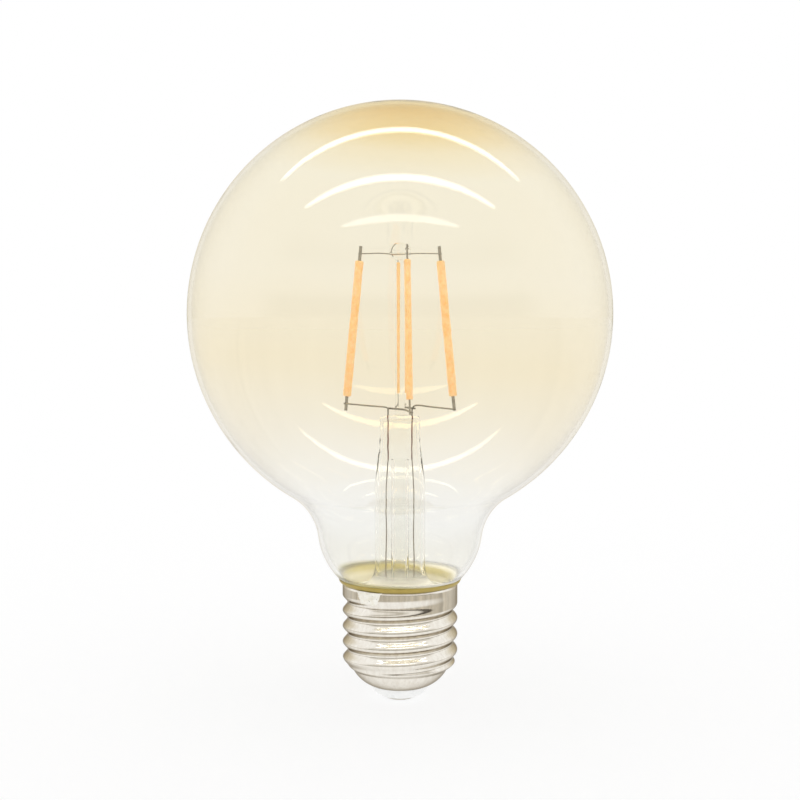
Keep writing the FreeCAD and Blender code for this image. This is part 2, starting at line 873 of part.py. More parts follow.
collar_blank = rod("collar_blank", collar_radius, size("collar_height"), (0, 0, collar_foot))
solder_seat = cut("solder_seat", solder_blank, collar_blank)
solder_edge = cut("solder_edge", solder_seat, capping_cement)
solder_face = cut("solder_face", solder_edge, glass_envelope)
rim_solder = cut("rim_solder", solder_face, side_lead_wire)

doc.recompute()
PIECES = [
    glass_envelope, screw_shell, insulator, centre_contact, capping_cement, rim_solder,
    glass_stem, exhaust_tube, glass_pillar, driver_board, smoothing_capacitor, fuse_resistor,
    side_lead_wire, *packages, *seals, *leads, *jumpers, *crossings, *strips,
]
for item in doc.Objects:
    if "Invalid" in item.State or "Error" in item.State:
        raise RuntimeError(f"{item.Label} did not build: {item.State}")
for piece in PIECES:
    shape = piece.Shape
    if shape.isNull() or not shape.isValid() or len(shape.Solids) != 1:
        raise RuntimeError(f"{piece.Label} is not one sound solid: {len(shape.Solids)}")
for piece in PIECES:
    piece.Shape.exportStep(f"parts/{piece.Label}.step")
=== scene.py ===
"""Amber globe bulb on an E27 screw cap: glass, rolled cap, wired strips and a plain pale studio."""
import logging
import math
from collections.abc import Sequence
from dataclasses import dataclass
from enum import Enum

import bpy
from mathutils import Matrix, Vector, noise


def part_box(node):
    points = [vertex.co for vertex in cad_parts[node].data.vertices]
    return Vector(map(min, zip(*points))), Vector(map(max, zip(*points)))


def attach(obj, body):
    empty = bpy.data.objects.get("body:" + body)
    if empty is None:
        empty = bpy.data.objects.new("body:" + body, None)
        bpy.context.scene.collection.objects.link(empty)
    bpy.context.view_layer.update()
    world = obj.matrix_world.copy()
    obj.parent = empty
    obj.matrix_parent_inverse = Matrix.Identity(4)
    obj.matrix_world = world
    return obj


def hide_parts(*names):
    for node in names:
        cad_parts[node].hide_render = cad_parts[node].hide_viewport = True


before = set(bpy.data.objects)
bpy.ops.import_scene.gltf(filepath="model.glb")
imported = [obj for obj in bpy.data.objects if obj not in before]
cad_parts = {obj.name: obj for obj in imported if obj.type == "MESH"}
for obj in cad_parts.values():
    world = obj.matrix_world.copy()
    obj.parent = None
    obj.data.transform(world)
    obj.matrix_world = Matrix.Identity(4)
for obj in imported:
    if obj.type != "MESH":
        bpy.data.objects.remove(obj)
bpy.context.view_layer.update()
LOG = logging.getLogger("globe_bulb")
MM = 0.001
BODY = "root"
WELD_DISTANCE = 0.0005 * MM
SMOOTH_ANGLE = math.radians(32)
WIRE_SIDES = 3
WIRE_STEPS = 8
WIRE_ORDER = 3
WHITE = "#FFFFFF"

Point = tuple[float, float]
Span = tuple[float, float]
Triple = tuple[float, float, float]
Stop = tuple[float, str]
Tree = bpy.types.NodeTree
Node = bpy.types.Node
Socket = bpy.types.NodeSocket
Piece = bpy.types.Object


class View(Enum):
    """What the photograph's camera was: its distance and height in metres, tilt and lens."""

    DISTANCE = 0.305
    HEIGHT = 0.08795
    TILT = 3.73
    LENS = 60.8


class Way(Enum):
    """How a value goes from one end of its span to the other."""

    STRAIGHT = "LINEAR"
    SOFT = "SMOOTHSTEP"


def linear(code: str) -> tuple[float, float, float, float]:
    """Returns the linear red, green, blue and alpha of an sRGB hex colour."""
    parts = [int(code[i:i + 2], 16) / 255 for i in (1, 3, 5)]
    return (*(p / 12.92 if p <= 0.04045 else ((p + 0.055) / 1.055) ** 2.4 for p in parts), 1.0)


def feed(tree: Tree, node: Node, values: dict | None = None, links: dict | None = None) -> None:
    """Sets and links inputs of a node.

    Args:
        tree: The node's tree.
        node: The node.
        values: Constant values by input name or number.
        links: Output sockets by input name or number.
    """
    for name, value in (values or {}).items():
        node.inputs[name].default_value = value
    for name, socket in (links or {}).items():
        tree.links.new(socket, node.inputs[name])


def add_node(
    tree: Tree, kind: str, values: dict | None = None, links: dict | None = None, **settings: object
) -> Node:
    """Adds one node with its settings and links.

    Args:
        tree: The node tree that gets the node.
        kind: The node's type without its ShaderNode prefix.
        values: Constant values by input name or number.
        links: Output sockets by input name or number.
        **settings: Properties of the node itself.

    Returns:
        The new node.
    """
    node = tree.nodes.new("ShaderNode" + kind)
    for name, value in settings.items():
        setattr(node, name, value)
    feed(tree, node, values, links)
    return node


def ramp(tree: Tree, value: Socket, stops: Sequence[Stop]) -> Socket:
    """Turns a value into a colour.

    Args:
        tree: The node tree.
        value: The value.
        stops: Places from 0 to 1 with their hex colours.

    Returns:
        The colour.
    """
    node = add_node(tree, "ValToRGB", links={"Fac": value})
    band = node.color_ramp.elements
    while len(band) < len(stops):
        band.new(1.0)
    for element, (place, code) in zip(band, stops):
        element.position = place
        element.color = linear(code)
    return node.outputs["Color"]


def remap(
    tree: Tree, value: Socket, start: Span, end: Span = (0.0, 1.0), way: Way = Way.STRAIGHT
) -> Socket:
    """Returns a value mapped from one span to another and stopped at its ends."""
    spans = {"From Min": start[0], "From Max": start[1], "To Min": end[0], "To Max": end[1]}
    return add_node(
        tree, "MapRange", spans, {"Value": value}, interpolation_type=way.value
    ).outputs["Result"]


def mix(
    tree: Tree, share: Socket, first: Socket | str, second: Socket | str, **settings: object
) -> Socket:
    """Mixes two colours, each of them a socket or a hex colour.

    Args:
        tree: The node tree.
        share: How much of the second colour shows.
        first: The first colour.
        second: The second colour.
        **settings: Properties of the node, such as how it blends.

    Returns:
        The mixed colour.
    """
    values, links = {}, {"Factor": share}
    for number, colour in ((6, first), (7, second)):
        if isinstance(colour, str):
            values[number] = linear(colour)
        else:
            links[number] = colour
    return add_node(tree, "Mix", values, links, data_type="RGBA", **settings).outputs[2]


def piece_place(tree: Tree) -> Socket:
    """Returns the place on the piece."""
    return add_node(tree, "TexCoord").outputs["Object"]


def piece_axes(tree: Tree) -> Node:
    """Returns the node that parts the place on the piece into its axes."""
    return add_node(tree, "SeparateXYZ", links={"Vector": piece_place(tree)})


@dataclass(frozen=True)
class Finish:
    """A finish of the bulb, with a mottled colour, a varying gloss and a fine relief."""

    title: str
    slot: str
    light: str
    dark: str
    roughness: float = 0.4
    metallic: float = 0.0
    grain: float = 1.0
    stretch: Triple = (1.0, 1.0, 1.0)
    relief: float = 0.05
    contrast: float = 0.35
    rim_tint: str = WHITE
    grain_detail: float = 4.0
    grain_break: float = 0.6
    gloss_span: Span = (0.3, 0.7)
    gloss_swing: Span = (0.8, 1.3)
    bump: float = 0.6

    def material(self) -> bpy.types.Material:
        """Makes the material when it is asked for the first time.

        Returns:
            The finish as a material.
        """
        found = bpy.data.materials.get(self.title)
        if found:
            return found
        made = bpy.data.materials.new(self.title)
        made.use_nodes = True
        tree = made.node_tree
        feed(tree, tree.nodes["Principled BSDF"], self.values(), self.links(tree))
        return made

    def grain_noise(self, tree: Tree) -> Socket:
        """Adds the noise of the finish, its scale worked out from the grain in millimetres.

        Args:
            tree: The node tree.

        Returns:
            The noise.
        """
        drawn = add_node(tree, "Mapping", {"Scale": self.stretch}, {"Vector": piece_place(tree)})
        scale = 1.0 / (self.grain * MM)
        values = {"Scale": scale, "Detail": self.grain_detail, "Roughness": self.grain_break}
        return add_node(tree, "TexNoise", values, {"Vector": drawn.outputs[0]}).outputs["Fac"]

    def raised(self, tree: Tree, height: Socket) -> Socket:
        """Returns the fine relief that a noise gives the surface."""
        values = {"Strength": self.bump, "Distance": self.relief * MM}
        return add_node(tree, "Bump", values, {"Height": height}).outputs["Normal"]

    def values(self) -> dict[str, object]:
        """Returns the shader's constant values by input."""
        return {"Metallic": self.metallic, "Specular Tint": linear(self.rim_tint)}

    def links(self, tree: Tree) -> dict[str, Socket]:
        """Builds the mottle, gloss and relief.

        Args:
            tree: The node tree.

        Returns:
            What is linked to the shader by input.
        """
        grain = self.grain_noise(tree)
        half = self.contrast / 2
        tones = ((0.5 - half, self.dark), (0.5 + half, self.light))
        low, high = (min(self.roughness * swing, 1.0) for swing in self.gloss_swing)
        return {
            "Base Color": ramp(tree, grain, tones),
            "Roughness": remap(tree, grain, self.gloss_span, (low, high)),
            "Normal": self.raised(tree, grain),
        }


@dataclass(frozen=True)
class Glass(Finish):
    """Blown or drawn soda-lime glass: clear inside, its wall darker where it is seen edge on,
    partly from the longer way light goes through it and partly painted shade.
    """

    bump: float = 0.5
    edge: str = "#DDE0E0"
    edge_shade_blend: float = 0.5
    edge_shade_power: float = 9.0
    ior: float = 1.5
    tone_span: Span = (0.35, 0.65)

    def body_colour(self, tree: Tree) -> Socket:
        """Returns the colour that light takes on in the wall."""
        tones = tuple(zip(self.tone_span, (self.dark, self.light)))
        return ramp(tree, self.grain_noise(tree), tones)

    def values(self) -> dict[str, object]:
        """Returns the shader's constant values by input."""
        return {"Transmission Weight": 1.0, "IOR": self.ior, "Roughness": self.roughness}

    def links(self, tree: Tree) -> dict[str, Socket]:
        """Builds a wall that darkens at its edge: partly the longer way light goes through it,
        partly painted shade for the dark surroundings seen there.

        Args:
            tree: The node tree.

        Returns:
            What is linked to the shader by input.
        """
        # Painted shade in part: the colour turns to the edge colour where the wall is seen edge on
        facing = add_node(tree, "LayerWeight", {"Blend": self.edge_shade_blend}).outputs["Facing"]
        edge_shade_share = add_node(tree, "Math", {1: self.edge_shade_power}, {0: facing}, operation="POWER")
        return {
            "Base Color": mix(tree, edge_shade_share.outputs[0], self.body_colour(tree), self.edge),
            "Normal": self.raised(tree, self.grain_noise(tree)),
        }


@dataclass(frozen=True)
class SealGlass(Glass):
    """Drawn glass that the heat of the seal has left milky at its flared end."""

    milky_level: float = 26.2
    clear_level: float = 29.5
    milk: float = 0.8

    def links(self, tree: Tree) -> dict[str, Socket]:
        """Builds clear glass and clouds it towards the seal.

        Args:
            tree: The node tree.

        Returns:
            What is linked to the shader by input.
        """
        levels = (self.milky_level * MM, self.clear_level * MM)
        clear = remap(tree, piece_axes(tree).outputs["Z"], levels, (1.0 - self.milk, 1.0), Way.SOFT)
        return super().links(tree) | {"Transmission Weight": clear}


@dataclass(frozen=True)
class AmberGlass(SealGlass):
    """Glass stained amber: deep at the crown, pale round the middle, clear at the neck.

    Below the neck it is backed by the cement, which shows olive through it.
    """

    milky_level: float = 27.8
    clear_level: float = 28.8
    lean: float = 0.05
    stain: tuple[Stop, ...] = (
        (23.45, "#EFE9CE"), (26.0, "#E8E2C8"), (27.0, "#BFB47C"), (27.8, "#BFB47A"),
        (28.7, "#F8F7F2"), (44.0, "#F9F9F7"), (58.0, "#FAF7EF"), (76.0, "#FAF4E4"),
        (96.0, "#FAF6EA"), (121.0, "#FAF6E9"), (127.0, "#F8EDD0"), (131.0, "#F4DDA2"),
        (134.65, "#EBCB78"),
    )

    def body_colour(self, tree: Tree) -> Socket:
        """Builds the stain that changes with the height on the globe.

        Args:
            tree: The node tree.

        Returns:
            The colour.
        """
        upwards = {1: (self.lean, 0.0, 1.0)}
        up = add_node(tree, "VectorMath", upwards, {0: piece_place(tree)}, operation="DOT_PRODUCT")
        foot, crown = self.stain[0][0], self.stain[-1][0]
        height = remap(tree, up.outputs["Value"], (foot * MM, crown * MM))
        stops = [((level - foot) / (crown - foot), code) for level, code in self.stain]
        return ramp(tree, height, stops)


@dataclass(frozen=True)
class PhosphorGel(Finish):
    """Yellow phosphor in silicone gel: matt and soft, with a faint painted glow though it is no
    lamp.
    """

    painted_glow: str = "#FFB45A"
    painted_glow_strength: float = 0.38
    depth: float = 0.6
    depth_share: float = 0.35
    depth_tint: Triple = (1.0, 0.6, 0.25)

    def values(self) -> dict[str, object]:
        """Returns the shader's constant values by input, with a painted glow in the gel."""
        return super().values() | {
            "Subsurface Weight": self.depth_share,
            "Subsurface Radius": self.depth_tint,
            "Subsurface Scale": self.depth * MM,
            # Painted glow: emission that brightens the gel where the glass around it holds back the
            # light
            "Emission Color": linear(self.painted_glow),
            "Emission Strength": self.painted_glow_strength,
        }


@dataclass(frozen=True)
class Solder(Finish):
    """Soft solder wiped on hot: dull bright metal with burnt specks of flux."""

    speck: float = 0.5
    speck_detail: float = 2.0
    speck_span: Span = (0.66, 0.7)
    flux: str = "#4A4238"

    def links(self, tree: Tree) -> dict[str, Socket]:
        """Builds the wiped metal and scatters the flux over it.

        Args:
            tree: The node tree.

        Returns:
            What is linked to the shader by input.
        """
        made = super().links(tree)
        values = {"Scale": 1.0 / (self.speck * MM), "Detail": self.speck_detail}
        spots = add_node(tree, "TexNoise", values, {"Vector": piece_place(tree)})
        burnt = remap(tree, spots.outputs["Fac"], self.speck_span)
        made["Base Color"] = mix(tree, burnt, made["Base Color"], self.flux)
        made["Metallic"] = add_node(
            tree, "Math", {0: self.metallic}, {1: burnt}, operation="SUBTRACT", use_clamp=True
        ).outputs[0]
        return made


@dataclass(frozen=True)
class Cement(Finish):
    """Baked capping cement: olive at its bead, with a painted pale tone inside the cap that stands
    in for light.
    """

    bead_olive: str = "#BCA95C"
    bead_level: float = 26.35
    bead_fade: float = 0.5

    def links(self, tree: Tree) -> dict[str, Socket]:
        """Builds the uneven cement and tints its bead olive, leaving the painted light of the pale
        tone below it.

        Args:
            tree: The node tree.

        Returns:
            What is linked to the shader by input.
        """
        made = super().links(tree)
        # Only the bead takes the olive; below it the pale tone is painted light for the hollow of
        # the cap
        levels = ((self.bead_level - self.bead_fade) * MM, self.bead_level * MM)
        olive_bead_share = remap(tree, piece_axes(tree).outputs["Z"], levels)
        tone = made["Base Color"]
        made["Base Color"] = mix(tree, olive_bead_share, tone, self.bead_olive, blend_type="MULTIPLY")
        return made


# Blown glass stained amber: golden at the crown, pale round the middle and clear at the neck
AMBER_GLASS = AmberGlass(
    "amber_stained_blown_glass", "tinted_glass", "#FAEFD2", "#F6E2B4",
    # The dark edge colour is partly painted shade along the globe's outline
    roughness=0.0, grain=26.0, relief=0.05, edge="#8E877E",
)
# Drawn clear glass: hardly seen apart from fine light edges
CLEAR_GLASS = Glass(
    "drawn_clear_glass", "clear_glass", "#FEFEFD", "#FBFBFA",
    roughness=0.0, grain=3.0, relief=0.04, ior=1.15,
)
# Drawn glass after the seal: clear above and clouded to cream at its flare
SEAL_GLASS = SealGlass(
    "sealed_drawn_glass", "clear_glass", "#FEFEFC", "#FCFBF8",
    roughness=0.0, grain=3.0, relief=0.05, ior=1.15,
)
# Nickel plate on rolled brass: bright and warm, with fine upright lines from the drawing of the cup
NICKEL_SHELL = Finish(
    "nickel_plated_rolled_brass", "nickel_shell", "#F5F1E8", "#ECE6DB",
    roughness=0.09, metallic=1.0, grain=0.9, stretch=(1.0, 1.0, 0.12), relief=0.002,
    rim_tint="#A8A196",
)
# Moulded white insulator: smooth, slightly glossy and cool
WHITE_INSULATOR = Finish(
    "moulded_white_insulator", "white_insulator", "#FAFAF9", "#F2F3F2",
    roughness=0.28, grain=2.5, relief=0.01,
)
# Pressed contact: plated metal with small scuffs from sockets
CONTACT_METAL = Finish(
    "pressed_plated_contact", "contact_metal", "#DAD6CC", "#B3AC9C",
    roughness=0.3, metallic=1.0, grain=0.8,
)
# Baked cement: olive and softly glossy at its bead, painted pale inside the cap as painted light
CAPPING_CEMENT = Cement(
    "baked_capping_cement", "capping_cement", "#F4EFD8", "#E6DFBE",
    roughness=0.42, grain=1.6, relief=0.12,
)
# Wiped solder: pale and dull, with a few dark specks
RIM_SOLDER = Solder(
    "wiped_soft_solder", "solder", "#FDFBF3", "#F1ECDD",
    roughness=0.42, metallic=0.1, grain=0.9, relief=0.15,
)
# Phosphor gel: matt orange, with a faint painted glow that stands in for light
PHOSPHOR_GEL = PhosphorGel(
    "phosphor_in_silicone_gel", "phosphor_gel", "#FFEBCB", "#FFD39A",
    roughness=0.5, grain=1.1, relief=0.05,
)
# Punched tab: dull grey metal with the grain of the sheet
TAB_METAL = Finish(
    "punched_nickel_iron_tab", "tab_metal", "#B9B4AA", "#8E897F",
    roughness=0.35, metallic=1.0, grain=0.3,
)
# Drawn nickel wire: grey, with a fine mottle
NICKEL_WIRE = Finish(
    "drawn_nickel_wire", "nickel_wire", "#A9A49A", "#7F7A70",
    roughness=0.32, metallic=1.0, grain=0.5,
)
# Copper-clad seal wire: the dull dark red of borated copper in glass
SEAL_WIRE = Finish(
    "borated_copper_clad_wire", "seal_wire", "#96583F", "#6A4030",
    roughness=0.35, metallic=0.6, grain=0.6,
)
# Soft tinned copper wire: grey with a warm cast where the tin is thin
COPPER_WIRE = Finish(
    "tinned_copper_wire", "copper_wire", "#A99C88", "#7E7262",
    roughness=0.34, metallic=1.0, grain=0.6,
)
# Glass-cloth board with a white mask over its weave
CIRCUIT_BOARD = Finish(
    "masked_glass_cloth_board", "circuit_board", "#F1F0EA", "#E2E1D8",
    roughness=0.38, grain=0.7, relief=0.02,
)
# Moulded epoxy package: black with a fine matt grain
BLACK_EPOXY = Finish(
    "moulded_black_epoxy", "black_epoxy", "#34343A", "#232327",
    roughness=0.55, grain=0.25, relief=0.02,
)
# Shrunk film sleeve on the can: smooth dark green
CAPACITOR_SLEEVE = Finish(
    "shrunk_film_sleeve", "capacitor_sleeve", "#2E4238", "#22332B",
    roughness=0.32, grain=2.0, relief=0.01,
)
# Dipped resistor coat: beige and softly glossy
RESISTOR_COAT = Finish(
    "dipped_resistor_coat", "resistor_coat", "#CDB68C", "#B89E71",
    roughness=0.4, grain=0.8, relief=0.03,
)


def node_box(node: str) -> tuple[Vector, Vector]:
    """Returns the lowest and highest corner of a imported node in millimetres."""
    low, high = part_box(node)
    return Vector(low) / MM, Vector(high) / MM


def arc(centre: Point, radius: float, start: float, end: float, steps: int) -> list[Point]:
    """Returns points on an arc of an outline from one angle in radians to another."""
    turns = [start + (end - start) * i / steps for i in range(steps + 1)]
    return [(centre[0] + radius * math.cos(t), centre[1] + radius * math.sin(t)) for t in turns]


def heading(start: Point, end: Point) -> float:
    """Returns the angle of the way from one point of an outline to another."""
    return math.atan2(end[1] - start[1], end[0] - start[0])


def bowed(start: Point, end: Point, radius: float, steps: int) -> list[Point]:
    """Points on the short arc between two points, bowed to the right of the way between them.

    Args:
        start: The first point.
        end: The last point.
        radius: The arc's radius, negative to bow to the left.
        steps: How many pieces the arc has.

    Returns:
        The points, both ends among them.
    """
    half = math.asin(math.dist(start, end) / 2 / radius)
    first = heading(start, end) - math.pi / 2 - half
    centre = (start[0] - radius * math.cos(first), start[1] - radius * math.sin(first))
    return arc(centre, radius, first, first + 2 * half, steps)


def offset(outline: Sequence[Point], distance: float) -> list[Point]:
    """Moves an outline to the left of its way.

    Args:
        outline: The points.
        distance: How far it moves.

    Returns:
        The moved points.
    """
    moved = []
    for count, point in enumerate(outline):
        before, after = outline[max(count - 1, 0)], outline[min(count + 1, len(outline) - 1)]
        way = heading(before, after) + math.pi / 2
        moved.append((point[0] + distance * math.cos(way), point[1] + distance * math.sin(way)))
    return moved


def eased(share: float) -> float:
    """Returns a share, kept from 0 to 1, that starts and ends softly."""
    share = min(max(share, 0.0), 1.0)
    return share * share * (3 - 2 * share)


def add_object(name: str, data: bpy.types.ID) -> Piece:
    """Adds an object to the scene.

    Args:
        name: The object's name.
        data: What it holds.

    Returns:
        The object.
    """
    added = bpy.data.objects.new(name, data)
    bpy.context.scene.collection.objects.link(added)
    return added


def name_new(name: str) -> Piece:
    """Returns the mesh object that was just added, under its name."""
    bpy.context.object.name = bpy.context.object.data.name = name
    return bpy.context.object


def finish_mesh(piece: Piece) -> None:
    """Closes seams, turns the faces outwards and smooths the piece.

    Args:
        piece: The mesh object.
    """
    bpy.context.view_layer.objects.active = piece
    bpy.ops.object.mode_set(mode="EDIT")
    bpy.ops.mesh.select_all(action="SELECT")
    bpy.ops.mesh.remove_doubles(threshold=WELD_DISTANCE)
    bpy.ops.mesh.dissolve_degenerate(threshold=WELD_DISTANCE)
    bpy.ops.mesh.normals_make_consistent(inside=False)
    bpy.ops.object.mode_set(mode="OBJECT")
    bpy.ops.object.shade_smooth_by_angle(angle=SMOOTH_ANGLE)


def drawn_wire(name: str, points: Sequence[Sequence[float]], diameter: float) -> Piece:
    """Draws a round wire along a soft line through points.

    Args:
        name: The piece's name.
        points: The points in millimetres.
        diameter: The wire's diameter in millimetres.

    Returns:
        The closed piece.
    """
    bpy.ops.object.select_all(action="DESELECT")
    line = bpy.data.curves.new(name, "CURVE")
    line.dimensions = "3D"
    line.bevel_depth = diameter / 2 * MM
    line.bevel_resolution = WIRE_SIDES
    line.resolution_u = WIRE_STEPS
    line.use_fill_caps = True
    run = line.splines.new("NURBS")
    run.points.add(len(points) - 1)
    for knot, point in zip(run.points, points):
        knot.co = (*(Vector(point) * MM), 1.0)
    run.order_u = WIRE_ORDER
    run.use_endpoint_u = True
    wire = add_object(name, line)
    wire.select_set(True)
    bpy.context.view_layer.objects.active = wire
    bpy.ops.object.convert(target="MESH")
    wire.data.name = name
    finish_mesh(wire)
    return wire


def lathe(name: str, outline: Sequence[Point], steps: int) -> Piece:
    """Spins an outline round the Z axis, as on a lathe.

    Args:
        name: The piece's name.
        outline: Radius and height of each point in millimetres, from the axis or back to the first.
        steps: How many segments go round.

    Returns:
        The closed piece.
    """
    bpy.ops.object.select_all(action="DESELECT")
    bpy.ops.mesh.primitive_plane_add(size=MM)
    piece = name_new(name)
    bpy.ops.object.mode_set(mode="EDIT")
    bpy.ops.mesh.select_all(action="SELECT")
    bpy.ops.mesh.merge(type="CENTER")
    corners = [Vector((radius, 0, height)) * MM for radius, height in outline]
    bpy.ops.transform.translate(value=corners[0])
    for here, there in zip(corners, corners[1:]):
        bpy.ops.mesh.extrude_vertices_move(TRANSFORM_OT_translate={"value": there - here})
    bpy.ops.mesh.select_all(action="SELECT")
    bpy.ops.mesh.spin(steps=steps, angle=math.tau, center=(0, 0, 0), axis=(0, 0, 1))
    bpy.ops.object.mode_set(mode="OBJECT")
    finish_mesh(piece)
    return piece


def stand_for(piece: Piece, finish: Finish, *nodes: str) -> None:
    """Dresses a new piece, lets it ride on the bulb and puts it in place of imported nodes.

    Args:
        piece: The new mesh object.
        finish: Its finish.
        *nodes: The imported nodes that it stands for.
    """
    piece.data.materials.clear()
    piece.data.materials.append(finish.material())
    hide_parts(*nodes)
    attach(piece, BODY)
    LOG.info("%s: %d faces for %s", piece.name, len(piece.data.polygons), ", ".join(nodes))


def dress_node(node: str, finish: Finish) -> None:
    """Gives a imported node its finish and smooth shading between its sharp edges.

    Args:
        node: The node's name.
        finish: Its finish.
    """
    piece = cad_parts[node]
    piece.data.materials.clear()
    piece.data.materials.append(finish.material())
    piece.data.polygons.foreach_set("use_smooth", [True] * len(piece.data.polygons))
    weld = piece.modifiers.new("Weld", "WELD")
    weld.merge_threshold = WELD_DISTANCE
    split = piece.modifiers.new("Split", "EDGE_SPLIT")
    split.split_angle = SMOOTH_ANGLE
    LOG.info("%s: packed solid in %s", node, finish.title)


@dataclass
class Globe:
    """The blown glass envelope: globe, shoulder, bowl and the throat that is sealed to the stem."""

    wall: float = 0.9
    neck_radius: float = 18.7
    shoulder_radius: float = 13.0
    bowl_radius: float = 16.5
    throat_radius: float = 12.2
    throat_fillet: float = 1.5
    throat_lip: float = 0.95
    rim_level: float = 26.35
    # Steps of the arcs of globe, shoulder, bowl and throat
    steps: tuple[int, ...] = (96, 20, 24, 10)
    segments: int = 192

    def outline(self, inset: float) -> list[Point]:
        """One side of the wall from the crown to the throat.

        Args:
            inset: How far inside the outer surface the side lies.

        Returns:
            Radius and height of its points.
        """
        low, high = node_box("glass_envelope")
        radius = min(high.x, -low.x)
        globe = (0.0, high.z - radius)
        fillet = (self.throat_radius + self.throat_fillet, self.rim_level - self.throat_lip)
        aside = self.neck_radius - self.bowl_radius
        reach = self.bowl_radius + self.throat_fillet
        bowl = (aside, fillet[1] + math.sqrt(reach ** 2 - (fillet[0] - aside) ** 2))
        curve = self.shoulder_radius
        near, far = radius + curve, self.bowl_radius + curve
        apart = math.dist(globe, bowl)
        swing = math.acos((near ** 2 + apart ** 2 - far ** 2) / (2 * near * apart))
        shoulder = arc(globe, near, 0.0, heading(globe, bowl) + swing, 1)[-1]
        centres = (globe, shoulder, bowl, fillet)
        outer = (radius, -curve, self.bowl_radius, -self.throat_fillet)
        radii = [abs(size - inset) for size in outer]
        joins = list(zip(centres, centres[1:]))
        starts = (math.pi / 2, *(heading(after, before) for before, after in joins))
        ends = (*(heading(before, after) for before, after in joins), math.pi)
        points = [(0.0, high.z - inset)]
        for bend in zip(centres, radii, starts, ends, self.steps):
            points += arc(*bend)[1:]
        return [*points, (self.throat_radius - inset, low.z)]

    def build(self) -> None:
        """Turns both sides of the wall and puts the glass in place."""
        outline = self.outline(0.0) + self.outline(self.wall)[::-1]
        stand_for(lathe("blown_globe", outline, self.segments), AMBER_GLASS, "glass_envelope")


@dataclass
class CapSizes:
    """The sizes that the pieces of the screw cap share."""

    collar_radius: float = 13.1
    rim_level: float = 26.35
    wall: float = 0.3
    step_level: float = 6.9
    end_radius: float = 6.75
    end_level: float = 3.1
    solder_bearing: float = 237.5
    segments: int = 160


@dataclass
class ScrewShell(CapSizes):
    """The rolled shell: collar, thread, rounded step and domed end."""

    pitch: float = 3.629
    thread_shift: float = 0.25
    thread_depth: float = 1.08
    thread_foot: float = 9.3
    run_out_start: float = 5.5
    run_out_end: float = 5.95
    rim_bevel: float = 0.17
    rim_rise: float = 0.36
    step_radius: float = 10.9
    step_blend: float = 6.0
    dome_radius: float = 8.0
    dome_steps: int = 24
    ring_step: float = 0.15

    def valley(self, height: float, bearing: float) -> float:
        """How deep the rolled thread is at a place on the wall.

        Args:
            height: Height on the cap in millimetres.
            bearing: Angle round the cap in radians, from 0 to a full turn.

        Returns:
            The depth below the crest in millimetres.
        """
        round_share = bearing / math.tau
        turns = (height - self.thread_shift) / self.pitch - round_share
        along = math.floor(turns) + round_share
        left = eased((self.run_out_end - along) / (self.run_out_end - self.run_out_start))
        return self.thread_depth * left * (1 - math.cos(math.tau * turns)) / 2

    def shoulder(self, height: float) -> float:
        """Radius of the rounded step that the thread runs down to.

        Args:
            height: Height on the cap in millimetres.

        Returns:
            The radius in millimetres.
        """
        share = (height - self.step_level) / (self.thread_foot - self.step_level)
        rise = math.sin(min(share, 1.0) * math.pi / 2) + 2 * max(share - 1.0, 0.0)
        return self.step_radius + (self.collar_radius - self.step_radius) * rise

    def plain_radius(self, height: float) -> float:
        """Returns the outer radius of the shell before the thread is rolled."""
        return min(self.shoulder(height), self.collar_radius)

    def rolled_radius(self, height: float, bearing: float) -> float:
        """Returns the outer radius of the shell with thread and step blended."""
        sides = (self.collar_radius - self.valley(height, bearing), self.shoulder(height))
        return -math.log(sum(math.exp(-r * self.step_blend) for r in sides)) / self.step_blend

    def wall_outline(self) -> list[Point]:
        """Outer side of the plain shell from its end to its rim.

        Returns:
            Radius and height of its points.
        """
        tall = self.rim_level - self.rim_rise - self.step_level
        count = round(tall / self.ring_step)
        levels = [self.step_level + tall * i / count for i in range(1, count + 1)]
        end, step = (self.end_radius, self.end_level), (self.step_radius, self.step_level)
        return [
            *bowed(end, step, self.dome_radius, self.dome_steps),
            *((self.plain_radius(level), level) for level in levels),
            (self.collar_radius - self.rim_bevel, self.rim_level),
        ]

    def build(self) -> None:
        """Turns the plain shell, rolls the thread into it and puts it in place."""
        outside = self.wall_outline()
        inside = offset(outside[:-1], self.wall)
        inside.append((self.collar_radius - self.wall, self.rim_level))
        outline = outside + inside[::-1] + outside[:1]
        shell = lathe("rolled_screw_shell", outline, self.segments)
        for vertex in shell.data.vertices:
            place = vertex.co / MM
            if self.step_level < place.z < self.rim_level - self.rim_rise:
                bearing = math.atan2(place.y, place.x) % math.tau
                sunk = self.rolled_radius(place.z, bearing) - self.plain_radius(place.z)
                scale = 1 + sunk / math.hypot(place.x, place.y)
                vertex.co.x *= scale
                vertex.co.y *= scale
        shell.data.update()
        stand_for(shell, NICKEL_SHELL, "screw_shell")


@dataclass
class Insulator(CapSizes):
    """The rounded insulator that is moulded into the shell's end."""

    foot: float = 0.42
    base_radius: float = 3.7
    curve: float = 4.0
    curve_steps: int = 16
    shank_radius: float = 1.2
    seat_level: float = 4.2
    seat_gap: float = 0.05
    seat_lip: float = 0.1
    seat_wall: float = 0.8
    flange: Point = (1.7, 1.9)

    def build(self) -> None:
        """Turns the insulator and puts it in place."""
        seat = self.end_radius - self.seat_gap
        above = self.end_level + self.wall
        base = (self.base_radius, self.foot)
        outline = [
            (self.shank_radius, self.foot),
            *bowed(base, (seat, self.end_level), self.curve, self.curve_steps),
            (seat, above + self.seat_lip),
            (seat + self.flange[0], above + self.flange[1]),
            (seat + self.flange[0], self.step_level),
            (seat - self.seat_wall, self.step_level),
            (seat - self.seat_wall, self.seat_level),
            (self.shank_radius, self.seat_level),
            (self.shank_radius, self.foot),
        ]
        insulator = lathe("moulded_insulator", outline, self.segments)
        stand_for(insulator, WHITE_INSULATOR, "insulator")


